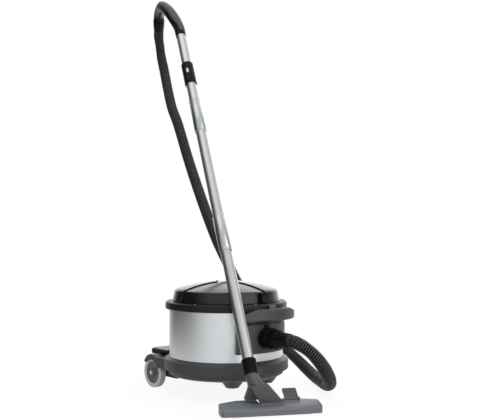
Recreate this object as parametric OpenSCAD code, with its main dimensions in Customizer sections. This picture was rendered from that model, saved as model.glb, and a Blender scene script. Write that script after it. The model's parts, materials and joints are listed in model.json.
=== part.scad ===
// Tub vacuum cleaner with a wand, a ribbed hose and a floor head, leaning as it is parked.
// Lengths are millimetres and angles are degrees. +Z is up and the floor is z = 0.
// Everything is placed from the tub's upright axis, with the machine's front towards -Y.

/* [Place] */
// Tub axis, left or right of the origin
axis_x = -2; // [-20:0.5:20]
// Tub axis, in front of the origin
axis_y = -147; // [-180:0.5:-120]

/* [Tub] */
// Outer radius of the steel tub
tub_r = 167; // [166.8:0.1:167.1]
// Wall of the steel tub
tub_wall = 1.5; // [1:0.1:2.5]
// Height of the tub's bottom above the floor
tub_low = 96; // [96:0.5:98]
// Height of the tub's rim above the floor
tub_high = 258; // [257:0.5:258]

/* [Base] */
// Outer radius of the base ring
ring_r = 183; // [182:0.5:184]
// Height of the base ring's top, at the tub
ring_high = 109; // [108:0.5:110]
// Height of the base ring's top, at its outer edge
ring_edge = 102; // [100:0.5:104]
// Height of the base's underside
base_low = 54; // [50:1:56]
// Wall of the moulded parts
wall = 3; // [2.5:0.5:3.5]

/* [Rear wheels] */
// Radius of the tyre
tyre_r = 45; // [43:0.5:45]
// Width of the tyre
tyre_w = 20; // [18:1:20]
// Middle of each rear wheel, from the tub axis
wheel_x = 124; // [123.5:0.5:124]
// Rear axle, behind the tub axis
axle_y = 190; // [188:1:192]
// Radius of the rear axle rod
axle_r = 4; // [3:0.5:4]

/* [Castor and feet] */
// Distance of the castor's stem from the tub axis
castor_out = 126; // [120:1:126]
// Radius of the castor wheel
castor_r = 17; // [15:0.5:17]
// How far the castor wheel trails behind its stem
castor_trail = 10; // [8:0.5:10]
// Distance of each front foot from the tub axis
foot_out = 124; // [120:1:124]
// Angle of each foot from the front
foot_turn = 31; // [30:1:34]

/* [Lid] */
// Outer radius of the lid's rim
rim_r = 179; // [178:0.5:179]
// Height of the rim's lower edge
rim_low = 247; // [244:1:248]
// Height of the rim's top
rim_high = 268; // [267:1:269]
// Radius of the dome's foot
dome_r = 150; // [148:1:151]
// Height of the dome's shoulder
dome_edge = 301; // [298:1:303]
// Height of the dome's crown
dome_top = 324; // [318:1:326]
// Angle that each raised wing of the lid covers
wing_angle = 79; // [70:1:82]
// Angle of the front wing's middle
wing_turn = -42.5; // [-44:0.5:-41]

/* [Front] */
// Half the angle that the front panel covers
panel_half = 31.5; // [30.5:0.5:33]
// Radius of the front panel's face
panel_r = 178; // [176:0.5:179]
// Height of the hose inlet's middle
inlet_z = 175; // [170:1:178]
// Radius of the inlet's bore
inlet_bore = 23; // [22:0.5:24]
// Outer radius of the carry handle
grip_r = 207; // [204:1:208]
// Thickness of the carry handle
grip_t = 14; // [12:1:14]
// Half the angle that the carry handle covers
grip_half = 28.5; // [26:0.5:28.5]

/* [Wand] */
// Radius of the wand's tubes
tube_r = 16; // [15:0.25:16]
// Wall of the wand's tubes
tube_wall = 1.2; // [1:0.1:2]
// Lean of the parked wand from upright
wand_lean = 34; // [33.9:0.05:34.1]
// Direction in which the wand leans
wand_turn = 69.25; // [69.2:0.05:69.3]
// Where the tubes end and the bent handle starts, along the wand
bend_start = 1206; // [1200:1:1206]
// Radius of the bent handle
grip_tube_r = 19; // [17:0.5:20]

/* [Hose] */
// Outer radius over the hose's ribs
hose_r = 19; // [17:0.25:19]
// Radius in the hose's grooves
groove_r = 16.8; // [16:0.1:17]
// Radius of the hose's bore
hose_bore = 14.4; // [13:0.1:14.5]
// Number of ribs along the hose
rib_count = 180; // [120:1:200]

/* [Floor head] */
// Length of the floor head
head_l = 267; // [262:1:270]
// Depth of the floor head
head_d = 76; // [74:1:78]
// Turn of the floor head from straight ahead
head_turn = -27.2; // [-28:0.1:-26]

/* [Hidden] */
$fn = 96;

// Clearance of a running fit, and of parts that only pass each other
fit = 0.05;
gap = 0.3;

// Angles round the tub: 0 is +X, and the front is -90
front = -90;
rear = 90;
panel_turn = -88.5;
grip_turn = -86;
switch_turn = -86.4;
catch_turn = -84;
gland_turn = 86;

// Wand: the foot of its tubes and where its pieces start, along its own axis
wand_foot = [-132, -256, 133.3];
collar_low = -40;
collar_high = 3;
spigot_high = -14;
lower_start = -12;
upper_start = 413;
handle_start = 862;
sleeve_r = 18.3;
sleeve_runs = [[338, 462], [781, 911]];
regulator_run = [983, 1073];
regulator_r = 19.6;
elbow_turn = -52;
elbow_angle = 46;
elbow_bend = 25;
elbow_r = 17.5;

// Floor head: its hinge, and the same hinge in the head's own frame
pivot = [-100, -308, 22];
pivot_in_head = [3, -4.5, 22];
yoke_w = 60;
yoke_r = 11;
head_back = 30;
head_front = 20;
pedal_x = 62;
pedal_w = 36;
pedal_hinge = [8, 34.5];
brush_y = [-29, 11];
roller_x = 62;
roller_at = [24, 8];
roller_r = 7.95;

// Motor and fan, all on the tub's axis
motor_low = 236;
motor_high = 305;
motor_r = 50;
shaft_r = 4;
fan_r = 64;

// The hose's middle line, from the inlet round the machine and up to the wand's handle
hose_route = [
    [0, -276, 175], [0, -288, 175], [7, -314, 166], [19, -334, 150], [37, -345, 128],
    [62, -344, 101], [98, -325, 72], [150, -278, 44], [205, -212, 25], [252, -145, 20],
    [290, -78, 22], [308, -22, 38], [305, 15, 62], [284, 42, 92], [250, 66, 137],
    [207, 107, 216], [175, 158, 305], [163, 200, 378], [160, 250, 450], [172, 340, 572],
    [195, 450, 721], [208, 532, 857], [225, 596, 930], [245, 652, 1010],
    [257, 692, 1085], [257, 711, 1140], [249, 709, 1180], [235, 697, 1214],
    [218, 671, 1236]
];
// The bent handle's middle line above the tubes
handle_end = [200, 644, 1259];
bend_steps = 28;
hose_top = hose_route[len(hose_route) - 1];
cuff_way = hose_top - handle_end;
handle_route = [
    wand_point(bend_start), wand_point(bend_start + 24), [118, 410, 1180],
    [124, 466, 1235], [144, 538, 1274], [170, 592, 1279], handle_end - cuff_way / 2,
    handle_end
];
cuff_l = norm(cuff_way);
cuff_lean = acos(cuff_way[2] / cuff_l);
cuff_turn = atan2(cuff_way[1], cuff_way[0]);

// ---- Places ----

function wand_way() = [sin(wand_lean) * cos(wand_turn), sin(wand_lean) * sin(wand_turn),
    cos(wand_lean)];
function wand_point(s) = wand_foot + s * wand_way();

module on_axis() translate([axis_x, axis_y, 0]) children();
module on_axis_at(turn, r, z) on_axis() rotate(turn) translate([r, 0, z]) children();
module on_wand(s = 0)
    on_axis() translate(wand_foot) rotate([0, wand_lean, wand_turn])
        translate([0, 0, s]) children();
module on_cuff()
    on_axis() translate(handle_end) rotate([0, cuff_lean, cuff_turn]) children();
module in_head()
    on_axis() translate([pivot[0], pivot[1], 0]) rotate(head_turn)
        translate([-pivot_in_head[0], -pivot_in_head[1], 0]) children();
module at_wheel(side) on_axis() translate([side * wheel_x, axle_y, tyre_r]) children();
module at_castor() on_axis() translate([0, -castor_out, 0]) children();
module along_x() rotate([0, 90, 0]) children();
module along_y() rotate([90, 0, 0]) children();

// ---- Shapes ----

// A pipe from z0 to z1
module pipe(z0, z1, r, bore)
    translate([0, 0, z0]) difference() {
        cylinder(h = z1 - z0, r = r);
        translate([0, 0, -1]) cylinder(h = z1 - z0 + 2, r = bore);
    }

// A turned solid of a profile, over an arc whose middle is at turn
module arc_solid(points, turn, angle)
    rotate(turn - angle / 2) rotate_extrude(angle = angle) polygon(points);

// A bent pipe that starts at the origin heading down and curves towards +X
module bent_pipe(bend, angle, r, bore)
    translate([bend, 0, 0]) rotate([-90, 0, 180]) rotate_extrude(angle = angle)
        translate([bend, 0]) difference() {
            circle(r = r);
            circle(r = bore);
        }

// A plate with rounded corners, standing on z = 0
module round_plate(size, r)
    linear_extrude(size[2]) {
        square([size[0] - 2 * r, size[1]], center = true);
        square([size[0], size[1] - 2 * r], center = true);
        for (x = [-1, 1], y = [-1, 1])
            translate([x * (size[0] / 2 - r), y * (size[1] / 2 - r)]) circle(r = r);
    }

// ---- Swept tubes ----

function unit(v) = v / norm(v);

// The way a route heads at point i; its first and last runs are straight
function way(p, i) =
    i <= 1 ? p[1] - p[0]
    : i >= len(p) - 2 ? p[len(p) - 1] - p[len(p) - 2]
    : (p[i + 1] - p[i - 1]) / 2;
function span_point(p, i, t) =
    (1 + 2 * t) * (1 - t) * (1 - t) * p[i] + t * (1 - t) * (1 - t) * way(p, i)
    + t * t * (3 - 2 * t) * p[i + 1] - t * t * (1 - t) * way(p, i + 1);
function smooth(p, steps) = [
    for (i = [0 : len(p) - 2], k = [0 : steps - 1]) span_point(p, i, k / steps),
    p[len(p) - 1]
];
function runs(p) = [
    for (i = 0, s = 0; i < len(p); s = s + norm(p[min(i + 1, len(p) - 1)] - p[i]), i = i + 1) s
];
function seek(r, s, a, b) =
    b - a <= 1 ? a
    : let (m = floor((a + b) / 2)) r[m] > s ? seek(r, s, a, m) : seek(r, s, m, b);
function point_at(p, r, s) =
    let (i = seek(r, s, 0, len(p) - 1), t = (s - r[i]) / (r[i + 1] - r[i]))
        p[i] + t * (p[i + 1] - p[i]);
// Points at given distances along a smoothed route
function stations(p, r, at) = [for (s = at) point_at(p, r, min(s, r[len(r) - 1]))];

function headings(p) = [
    for (i = [0 : len(p) - 1]) unit(p[min(i + 1, len(p) - 1)] - p[max(i - 1, 0)])
];
function square_to(t, n) = unit(n - (n * t) * t);
// Side directions carried along the route with no twist
function sides_of(t, n) = [
    for (i = 0, m = square_to(t[0], n); i < len(t);
        m = square_to(t[min(i + 1, len(t) - 1)], m), i = i + 1) m
];
function ring(c, t, n, outline) = [for (q = outline) c + q[0] * n + q[1] * cross(t, n)];
function rings(p, outlines, n) =
    let (t = headings(p), m = sides_of(t, n))
        [for (i = [0 : len(p) - 1]) each ring(p[i], t[i], m[i], outlines[i])];
function round_outline(r, count) =
    [for (k = [0 : count - 1]) r * [cos(360 * k / count), sin(360 * k / count)]];

function quad(a, b, c, d) = [[a, b, c], [a, c, d]];
function wall_faces(base, count, sides, outside) = [
    for (i = [0 : count - 2], k = [0 : sides - 1])
        let (a = base + i * sides + k, b = base + i * sides + (k + 1) % sides)
            each outside ? quad(a, a + sides, b + sides, b)
                : quad(a, b, b + sides, a + sides)
];
function rim_faces(a0, b0, sides, start) = [
    for (k = [0 : sides - 1])
        let (m = (k + 1) % sides)
            each start ? quad(a0 + k, a0 + m, b0 + m, b0 + k)
                : quad(a0 + k, b0 + k, b0 + m, a0 + m)
];

// A tube whose outside and bore have rings of their own along the same route
module swept_tube(outer_p, outer_r, inner_p, inner_r, sides, n) {
    outer_count = len(outer_p);
    inner_count = len(inner_p);
    bore_base = outer_count * sides;
    polyhedron(
        points = concat(
            rings(outer_p, [for (r = outer_r) round_outline(r, sides)], n),
            rings(inner_p, [for (r = inner_r) round_outline(r, sides)], n)),
        faces = concat(
            wall_faces(0, outer_count, sides, true),
            wall_faces(bore_base, inner_count, sides, false),
            rim_faces(0, bore_base, sides, true),
            rim_faces(bore_base - sides, bore_base + (inner_count - 1) * sides, sides, false)),
        convexity = 12);
}

// ---- Base ----

module chassis() {
    castor_roof = 66;
    foot_low = 34;
    // Hole in the middle of the floor, where spilt water runs out
    drain_r = 8;
    housing_r = 30;
    // Arm and fender beside each wheel: inner side, outer side and underside
    arm_in = 110;
    arm_out = 139;
    arm_low = 63;
    arm_high = 95;
    skirt = 3;
    well_r = tyre_r + 1.5;
    color("#3a3c3f") on_axis() difference() {
        union() {
            rotate_extrude() polygon([
                [drain_r, base_low], [158, base_low], [168, 59], [172, 71], [ring_r, 73],
                [ring_r, ring_edge - 3], [ring_r - 2, ring_edge], [tub_r, ring_high],
                [tub_r, tub_low], [150, tub_low], [150, tub_low - wall],
                [tub_r + 2.5, tub_low - wall], [tub_r + 2.5, ring_high - wall - 1],
                [ring_r - wall, ring_edge - wall - 1], [ring_r - wall, 76], [169.5, 74],
                [165.2, 61], [157, base_low + wall], [drain_r, base_low + wall]
            ]);
            // Boss that the castor's stem turns in
            translate([0, -castor_out, base_low])
                cylinder(h = castor_roof + 4 - base_low, r = housing_r);
            translate([0, -castor_out, castor_roof]) cylinder(h = 18, r = 9);
            for (side = [-1, 1]) {
                rotate(front + side * foot_turn) translate([foot_out, 0, foot_low])
                    cylinder(h = base_low + 1 - foot_low, r1 = 18, r2 = 34);
                mirror([side > 0 ? 0 : 1, 0, 0]) {
                    // Arm back from the ring, with the fender over the wheel
                    translate([arm_in, axle_y, tyre_r]) rotate([90, 0, 90])
                        linear_extrude(arm_out - arm_in) difference() {
                            union() {
                                translate([-2.2, 12.7]) circle(r = 43.3);
                                translate([96 - axle_y, 0])
                                    square([axle_y - 98, arm_high - tyre_r]);
                            }
                            translate([-100, -60]) square([200, 60 + arm_low - tyre_r]);
                            translate([0, -10]) square([60, 39]);
                        }
                    translate([arm_in - 10, 96, 36]) cube([12, axle_y - 82, arm_high - 36]);
                }
            }
            translate([-arm_in, 140, 36]) cube([2 * arm_in, 64, 24]);
        }
        translate([0, -castor_out, 0]) {
            cylinder(h = castor_roof, r = housing_r - 4);
            cylinder(h = 100, r = axle_r + fit);
        }
        for (side = [-1, 1]) {
            // Hollow inside of each foot
            rotate(front + side * foot_turn) translate([foot_out, 0, foot_low + wall])
                cylinder(h = base_low + wall + 1 - foot_low, r1 = 15, r2 = 32);
            // Room for the wheel, and the way to it past the fender's skirt
            mirror([side > 0 ? 0 : 1, 0, 0]) translate([arm_in + 2, axle_y, tyre_r]) along_x() {
                cylinder(h = arm_out - arm_in - 2 - skirt, r = well_r);
                cylinder(h = 40, r = 39);
            }
        }
        // Inside of the tub's seat, and the way through for the axle
        translate([0, 0, tub_low]) cylinder(h = 60, r = tub_r);
        translate([-150, axle_y, tyre_r]) along_x() cylinder(h = 300, r = axle_r);
    }
}

module rear_shelf() {
    shelf_low = 97;
    shelf_t = 14;
    color("#222326") on_axis() difference() {
        union() {
            translate([0, 192, shelf_low]) round_plate([216, 98, shelf_t], 14);
            translate([0, 183, 75]) round_plate([150, 80, 25], 10);
            // Post that the power cord is wound on
            translate([-5, 184, shelf_low]) cube([10, 6, 46]);
            translate([-16, 184, shelf_low + 40]) cube([32, 6, 8]);
        }
        cylinder(h = 200, r = ring_r);
    }
}

module shelf_tray() {
    color("#9a9da0") on_axis() difference() {
        translate([0, 196, 111]) round_plate([206, 82, 2.2], 12);
        cylinder(h = 200, r = ring_r + 1.5);
        // Slot that the cord's post stands in
        translate([-7, 176, 100]) cube([14, 16, 30]);
    }
}

module rear_axle() {
    // Just outside the hubs' bosses
    end_x = wheel_x + tyre_w / 2 + 3.3;
    color("#b9bcc0") on_axis() translate([0, axle_y, tyre_r]) along_x() {
        translate([0, 0, -end_x - 1]) cylinder(h = 2 * end_x + 2, r = axle_r);
        for (side = [-1, 1])
            translate([0, 0, side * (end_x + 1.1) - 1.1]) cylinder(h = 2.2, r = 5);
    }
}

module hub(side) {
    rim = 33;
    half = tyre_w / 2;
    color("#4a4c4f") at_wheel(side) mirror([side > 0 ? 0 : 1, 0, 0]) along_x()
        rotate_extrude() polygon([
            [axle_r + fit, -half], [12, -half], [12, -3], [rim - 4, -3], [rim - 4, -half],
            [rim, -half], [rim, half - 1], [rim - 4, half - 1], [rim - 5, half - 4],
            [13, half - 5], [11, half + 3], [axle_r + fit, half + 3]
        ]);
}

module tyre(side) {
    half = tyre_w / 2;
    color("#a9acae") at_wheel(side) mirror([side > 0 ? 0 : 1, 0, 0]) along_x()
        rotate_extrude() polygon([
            [33, -half], [tyre_r - 2, -half], [tyre_r - 0.6, 0.6 - half], [tyre_r, 2 - half],
            [tyre_r, half - 2], [tyre_r - 0.6, half - 0.6], [tyre_r - 2, half], [36, half],
            [34, half - 1], [33, half - 1]
        ]);
}

module castor_fork() {
    plate_z = 60;
    cheek_x = 8;
    color("#55585b") at_castor() {
        translate([0, 0, plate_z]) cylinder(h = 4, r = 22);
        translate([0, 0, plate_z]) cylinder(h = 24, r = axle_r);
        for (s = [-1, 1]) translate([s > 0 ? cheek_x : -cheek_x - 3, 0, 0])
            along_x() mirror([1, 0, 0]) linear_extrude(3) {
                translate([castor_r, castor_trail]) circle(r = 6);
                polygon([[castor_r, castor_trail - 6], [castor_r, castor_trail + 6],
                    [plate_z + 1, 14], [plate_z + 1, -10]]);
            }
        translate([-cheek_x - 5, castor_trail, castor_r]) along_x()
            cylinder(h = 2 * cheek_x + 10, r = 2);
    }
}

module castor_wheel() {
    color("#2c2d2f") at_castor() translate([0, castor_trail, castor_r]) along_x()
        rotate_extrude() polygon([
            [2 + fit, -7.5], [6, -7.5], [7, -6], [castor_r - 3, -7], [castor_r, -4],
            [castor_r, 4], [castor_r - 3, 7], [7, 6], [6, 7.5], [2 + fit, 7.5]
        ]);
}

// ---- Tub and front ----

module tub() {
    color("#b4b7ba") on_axis() difference() {
        translate([0, 0, tub_low]) cylinder(h = tub_high - tub_low, r = tub_r);
        translate([0, 0, tub_low + 2]) cylinder(h = tub_high, r = tub_r - tub_wall);
        translate([0, 0, inlet_z]) along_y() cylinder(h = 300, r = inlet_bore + 3);
    }
}

module front_panel() {
    color("#3a3c3f") on_axis() difference() {
        arc_solid([
            [tub_r + gap, 132], [panel_r - 3, 132], [panel_r, 136], [panel_r, 212],
            [170, 219], [170, 246.5], [tub_r + gap, 246.5]
        ], panel_turn, 2 * panel_half);
        translate([0, 0, inlet_z]) along_y() cylinder(h = 300, r = inlet_bore + 3);
        translate([0, -173, inlet_z]) along_y() cylinder(h = 60, r = inlet_bore + 5.5);
    }
}

module carry_handle() {
    low = 222;
    high = 257;
    // Half the angle of each lug that joins the grip to the front panel
    lug_half = 3.5;
    // How far the grip's ends slope down, and over what length
    end_drop = 12;
    end_l = 40;
    color("#303235") on_axis() difference() {
        union() {
            arc_solid([
                [grip_r - grip_t, low + 4], [grip_r - grip_t + 4, low], [grip_r - 4, low],
                [grip_r, low + 5], [grip_r, high - 5], [grip_r - 4, high],
                [grip_r - grip_t + 3, high], [grip_r - grip_t, high - 4]
            ], grip_turn, 2 * grip_half);
            for (side = [-1, 1])
                arc_solid([
                    [170, low + 1], [grip_r - 6, low + 1], [grip_r - 6, 240], [182, 240],
                    [181.5, 243], [170, 243]
                ], grip_turn + side * (grip_half - lug_half - 0.5), 2 * lug_half);
        }
        for (side = [-1, 1])
            rotate(grip_turn + side * grip_half) mirror([0, side > 0 ? 0 : 1, 0])
                translate([grip_r - grip_t - 3, 0, 0]) rotate([90, 0, 90])
                    linear_extrude(30) polygon([
                        [-end_l, high + 0.1], [-end_l, high + 9], [9, high + 9],
                        [9, high - end_drop - 2.7]
                    ]);
    }
}

module inlet_socket() {
    color("#1f2022") on_axis() translate([0, 0, inlet_z]) {
        along_y() {
            pipe(149, 173, inlet_bore + 3, inlet_bore);
            pipe(173, 186, inlet_bore + 5, inlet_bore);
        }
        // Latch over the flange
        translate([-7, -185, inlet_bore + 3]) cube([14, 185 - panel_r - gap, 11]);
    }
}

module hose_connector() {
    // Collar turned by hand, and the sleeve that narrows to the hose
    collar_r = inlet_bore + 7;
    collar_l = 16.7;
    neck_r = inlet_bore + 1;
    neck_l = 87;
    color("#1f2022") on_axis() translate([0, 0, inlet_z]) along_y() difference() {
        union() {
            translate([0, 0, 158]) cylinder(h = 30, r = inlet_bore - fit);
            translate([0, 0, 186 + gap]) rotate_extrude() polygon([
                [0, 0], [collar_r - 1.5, 0], [collar_r, 2], [collar_r, collar_l - 1],
                [collar_r - 1, collar_l], [neck_r + 1, collar_l], [neck_r + 0.5, 19],
                [neck_r, 40], [neck_r - 2, 50], [hose_r + 1.5, neck_l], [0, neck_l]
            ]);
            for (a = [0 : 30 : 330])
                rotate(a) translate([neck_r - 2, -2.5, 212]) cube([4.5, 5, 14]);
        }
        translate([0, 0, 150]) cylinder(h = 140, r = hose_bore);
    }
}

// ---- Hose ----

module suction_hose() {
    line = smooth(hose_route, 12);
    run = runs(line);
    length = run[len(run) - 1];
    // Each rib is a crest ring and a groove ring
    pitch = length / rib_count;
    outer = stations(line, run, [for (i = [0 : 2 * rib_count]) i * pitch / 2]);
    bore = stations(line, run, [for (i = [0 : rib_count / 2]) i * pitch * 2]);
    looked_at = stations(line, run, [for (i = [0 : rib_count]) i * pitch]);
    clear = min([
        for (i = [0 : rib_count - 6], j = [i + 6 : rib_count])
            norm(looked_at[i] - looked_at[j]) - 2 * hose_r
    ]);
    echo(hose_length = length, hose_least_gap = clear);
    color("#1c1d1f") on_axis() swept_tube(
        outer, [for (i = [0 : 2 * rib_count]) i % 2 == 0 ? groove_r : hose_r],
        bore, [for (i = [0 : rib_count / 2]) hose_bore], 8, [1, 0, 0]);
}

module hose_cuff_top() {
    color("#1b1c1e") on_cuff() difference() {
        rotate_extrude() polygon([
            [0, gap], [grip_tube_r + 1.5, gap], [grip_tube_r + 2, 3],
            [grip_tube_r + 1.5, 24], [hose_r + 0.5, cuff_l - 0.6], [0, cuff_l - 0.6]
        ]);
        translate([0, 0, -1]) cylinder(h = 31, r = 15 + fit);
        cylinder(h = 60, r = hose_bore);
    }
}

// ---- Wand ----

module handle_bend() {
    line = smooth(handle_route, 6);
    run = runs(line);
    length = run[len(run) - 1];
    at = stations(line, run, [for (i = [0 : bend_steps]) i * length / bend_steps]);
    grow = [for (i = [0 : bend_steps]) tube_r + 1.6 + (grip_tube_r - tube_r - 1.6)
        * min(1, 3 * i / bend_steps)];
    bore = [for (i = [0 : bend_steps]) tube_r - 2.5];
    color("#1d1e20") on_axis()
        swept_tube(at, grow, at, bore, 20, -1 * (handle_end - wand_point(bend_start)));
    color("#1d1e20") on_cuff() pipe(-1, 28, 15, 12);
}

module handle_top_shell() {
    line = smooth(handle_route, 6);
    run = runs(line);
    length = run[len(run) - 1];
    count = 20;
    at = stations(line, run, [for (i = [0 : count]) (i + 1) * length / bend_steps]);
    half = 12;
    // A crescent over the outer side of the bend, narrower at both ends
    spread = [for (i = [0 : count]) 78 - 34 * pow(abs(2 * i / count - 1), 4)];
    outlines = [for (i = [0 : count]) concat(
        [for (k = [0 : half]) (grip_tube_r + 1.6)
            * [cos(spread[i] * (2 * k / half - 1)), sin(spread[i] * (2 * k / half - 1))]],
        [for (k = [half : -1 : 0]) (grip_tube_r + 0.15)
            * [cos(spread[i] * (2 * k / half - 1)), sin(spread[i] * (2 * k / half - 1))]]
    )];
    sides = 2 * half + 2;
    last = count * sides;
    color("#6d7073") on_axis() polyhedron(
        points = rings(at, outlines, -1 * (handle_end - wand_point(bend_start))),
        faces = concat(
            wall_faces(0, count + 1, sides, true),
            [for (k = [0 : half - 1]) each quad(k, k + 1, sides - 2 - k, sides - 1 - k)],
            [for (k = [0 : half - 1])
                each quad(last + k, last + sides - 1 - k, last + sides - 2 - k, last + k + 1)]
        ),
        convexity = 6);
}

module handle_tube() {
    color("#b9bbbd") on_wand() pipe(handle_start, bend_start, tube_r, tube_r - tube_wall);
}

module upper_tube() {
    color("#b9bbbd") on_wand() pipe(upper_start, handle_start, tube_r, tube_r - tube_wall);
}

module lower_tube() {
    color("#b9bbbd") on_wand() pipe(lower_start, upper_start, tube_r, tube_r - tube_wall);
}

module tube_sleeves() {
    color("#aeb0b3") on_wand() for (run = sleeve_runs)
        translate([0, 0, run[0]]) rotate_extrude() polygon([
            [tube_r, 0], [sleeve_r - 1, 0], [sleeve_r, 1.5],
            [sleeve_r, run[1] - run[0] - 1.5], [sleeve_r - 1, run[1] - run[0]],
            [tube_r, run[1] - run[0]]
        ]);
}

module regulator_sleeve() {
    length = regulator_run[1] - regulator_run[0];
    color("#1d1e20") on_wand(regulator_run[0]) {
        difference() {
            union() {
                rotate_extrude() polygon([
                    [0, 0], [regulator_r - 1, 0], [regulator_r, 2],
                    [regulator_r, length - 3], [regulator_r - 2, length], [0, length]
                ]);
                rotate(150) translate([regulator_r - 2, -7, 2]) cube([5, 14, 22]);
            }
            translate([0, 0, -1]) cylinder(h = length + 2, r = tube_r + fit);
            // Bleed opening that the slide covers
            rotate(150) translate([10, -5, 40]) cube([20, 10, 24]);
        }
    }
}

module neck_collar() {
    color("#1b1c1e") on_wand(collar_low) difference() {
        rotate_extrude() polygon(concat(
            [[0, 0], [18.5, 0]],
            [for (i = [0 : 5]) each [
                [19.7, 1.2 + 6 * i], [19.7, 3.8 + 6 * i], [17.5, 4.7 + 6 * i],
                [17.5, 6.3 + 6 * i]
            ]],
            [[19.7, 37.2], [19.7, collar_high - collar_low - 1.2],
            [18.5, collar_high - collar_low], [0, collar_high - collar_low]]));
        translate([0, 0, -1]) cylinder(h = 80, r = 15 + fit);
        translate([0, 0, lower_start - collar_low]) cylinder(h = 80, r = tube_r);
    }
}

// ---- Neck and floor head ----

module on_elbow_end()
    on_wand(collar_low - gap) rotate(elbow_turn)
        translate([elbow_bend * (1 - cos(elbow_angle)), 0, -elbow_bend * sin(elbow_angle)])
            rotate([0, -elbow_angle, 0]) children();

module neck_elbow() {
    color("#222326") {
        on_wand(collar_low - gap) {
            pipe(0, spigot_high - collar_low + gap, 15, 11.8);
            rotate(elbow_turn) bent_pipe(elbow_bend, elbow_angle, elbow_r, 12);
        }
        on_elbow_end() pipe(-8, 0.2, elbow_r - 0.2, 12.2);
    }
}

module neck_yoke() {
    // Top of the yoke, from its hinge: middle, size and corner radius
    top_at = [-34, 1.5, 51];
    top_size = [52, 34, 4];
    // Root of the part that leans over, just above the barrel
    root_at = [-yoke_w / 2, -7, 8.5];
    root_size = [yoke_w, 14, 2.5];
    color("#222326") difference() {
        union() {
            in_head() translate(pivot_in_head) {
                translate([-yoke_w / 2, 0, 0]) along_x() cylinder(h = yoke_w, r = yoke_r);
            }
            in_head() translate(pivot_in_head) hull() {
                translate(root_at) cube(root_size);
                translate(top_at) for (x = [-1, 1], y = [-1, 1])
                    translate([x * (top_size[0] / 2 - 5), y * (top_size[1] / 2 - 5), 0])
                        cylinder(h = top_size[2], r = 5, $fn = 32);
            }
            // Heel on one side, which clears the head's roof
            in_head() translate(pivot_in_head) hull() {
                translate([-59, -1, 40]) cube([12, 15, 7]);
                translate([-66, 9, 14]) cube([42, 17, 4]);
            }
            on_elbow_end() translate([0, 0, -24]) cylinder(h = 16, r = elbow_r + 1);
        }
        in_head() translate(pivot_in_head) translate([-50, 0, 0]) along_x()
            cylinder(h = 100, r = axle_r + fit);
        on_elbow_end() translate([0, 0, -44]) cylinder(h = 44, r = 12);
        // Seat of the elbow, and the hollow that its bend lies in
        on_elbow_end() translate([0, 0, -8]) cylinder(h = 12, r = elbow_r);
        on_wand(collar_low - gap) rotate(elbow_turn)
            bent_pipe(elbow_bend, elbow_angle, elbow_r + gap, 0);
    }
}

module yoke_pin() {
    color("#b9bcc0") in_head() translate(pivot_in_head) translate([-37, 0, 0]) along_x()
        cylinder(h = 74, r = axle_r);
}

// The head's plan: a straight front, and a back that slants in to both ends
module head_plan(inset) {
    half = head_l / 2 - inset;
    deep = head_d / 2 - inset;
    polygon([
        [-half, -deep + 6], [-half + 6, -deep], [half - 6, -deep], [half, -deep + 6],
        [half, deep - 32], [half - 6, deep - 26], [72, deep], [-72, deep],
        [-half + 6, deep - 26], [-half, deep - 32]
    ]);
}

// The head's side: low at the front, higher at the back
module head_side(low, inset) {
    deep = head_d / 2 + 1;
    translate([-head_l / 2 - 1, 0, 0]) rotate([90, 0, 90]) linear_extrude(head_l + 2)
        polygon([
            [-deep, low], [deep, low], [deep, head_back - 4 - inset],
            [deep - 6, head_back - inset], [6, head_back - 1 - inset],
            [-deep + 10, head_front + 2 - inset], [-deep + 1, head_front - 4 - inset],
            [-deep, head_front - 8 - inset]
        ]);
}

module head_shell() {
    well_w = yoke_w + 2;
    color("#2b2c2f") in_head() difference() {
        union() {
            difference() {
                intersection() {
                    linear_extrude(60) head_plan(0);
                    head_side(3, 0);
                }
                intersection() {
                    linear_extrude(60) head_plan(2.5);
                    head_side(0, 2.5);
                }
            }
            // Walls of the yoke's well, with the hinge's eyes
            for (side = [-1, 1])
                translate([pivot_in_head[0] + side * (well_w / 2 + 1.5) - 1.5, -25.5, 5.5])
                    cube([3, 61.5, 16]);
            for (side = [-1, 1])
                translate([pivot_in_head[0] + side * (well_w / 2 + 1.5) - 1.5,
                    pivot_in_head[1], 22])
                    along_x() cylinder(h = 3, r = 8);
            // Ears of the pedal's pin
            for (side = [-1, 1])
                translate([pedal_x + side * (pedal_w / 2 + 2) - 1.5, pedal_hinge[0], 0]) {
                    translate([0, 0, pedal_hinge[1]]) along_x() cylinder(h = 3, r = 4.5);
                    translate([0, -5, 27.5]) cube([3, 10, pedal_hinge[1] - 27.5]);
                }
        }
        // Well that the yoke swings in
        translate([pivot_in_head[0] - well_w / 2, -20, 5]) cube([well_w, 61, 40]);
        // Room for the rear bar of the brush carrier
        translate([-111, brush_y[1] - 3.8, 3]) cube([222, 7.6, 13.4]);
        translate([-60, 0, 0] + pivot_in_head) along_x() cylinder(h = 120, r = axle_r);
        translate([0, pedal_hinge[0], pedal_hinge[1]]) along_x() cylinder(h = 120, r = 2);
    }
}

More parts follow.
